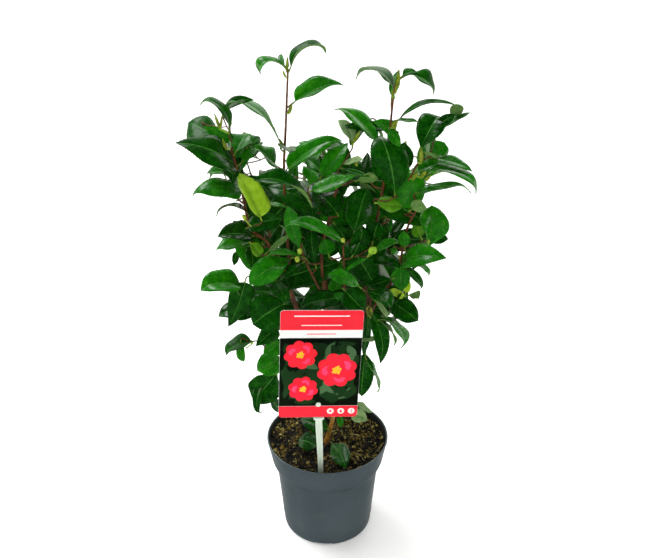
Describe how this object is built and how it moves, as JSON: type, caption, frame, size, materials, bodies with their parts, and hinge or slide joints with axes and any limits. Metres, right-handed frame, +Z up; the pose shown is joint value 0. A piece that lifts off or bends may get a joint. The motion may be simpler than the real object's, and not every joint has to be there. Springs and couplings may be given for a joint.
{
  "type": "potted camellia shrub",
  "caption": "Young glossy-leaved camellia shrub with two tall leader shoots and round flower buds, growing in a plain round nursery pot with a plant label on a stick.",
  "frame": {"origin": "centre of the pot's flat underside", "axes": "+Z up, from the pot's underside to the tallest shoot; -Y is the side that the label faces; +X to the right as the label is read"},
  "size_m": [0.322, 0.2207, 0.6108],
  "materials": {
    "pot_plastic": "satin",
    "potting_soil": "rough",
    "label_card": "satin print",
    "label_stick": "satin",
    "trunk_bark": "rough",
    "bough_bark": "satin",
    "foliage": "glossy leaf"
  },
  "bodies": {
    "root": {"pot": "pot_plastic", "soil": "potting_soil", "label_card": "label_card", "label_stick": "label_stick", "trunk": "trunk_bark", "bough_left_leader": "bough_bark", "bough_right_leader": "bough_bark", "bough_far_left": "bough_bark", "bough_centre": "bough_bark", "bough_centre_left": "bough_bark", "bough_centre_right": "bough_bark", "bough_right_outer": "bough_bark", "bough_right_upper": "bough_bark", "bough_back_left": "bough_bark", "bough_back": "bough_bark", "bough_back_right": "bough_bark", "foliage_left_leader_top": "foliage", "foliage_left_leader_mid": "foliage", "foliage_left_leader_low": "foliage", "foliage_upper_left": "foliage", "foliage_left_side": "foliage", "foliage_left_waist": "foliage", "foliage_left_low": "foliage", "foliage_left_inner": "foliage", "foliage_left_sprig": "foliage", "foliage_left_foot": "foliage", "foliage_centre_left": "foliage", "foliage_centre_top": "foliage", "foliage_centre_high": "foliage", "foliage_right_leader_top": "foliage", "foliage_right_leader_mid": "foliage", "foliage_right_inner_top": "foliage", "foliage_right_upper": "foliage", "foliage_right_side": "foliage", "foliage_right_low": "foliage", "foliage_right_inner": "foliage", "foliage_centre_front": "foliage", "foliage_right_low_inner": "foliage", "foliage_right_hanging": "foliage", "foliage_label_side": "foliage", "foliage_centre_low": "foliage", "foliage_soil_left": "foliage", "foliage_soil_right": "foliage", "foliage_back_left": "foliage", "foliage_back_left_low": "foliage", "foliage_back_top": "foliage", "foliage_back_low": "foliage", "foliage_back_right": "foliage", "foliage_back_right_low": "foliage"}
  },
  "joints": []
}
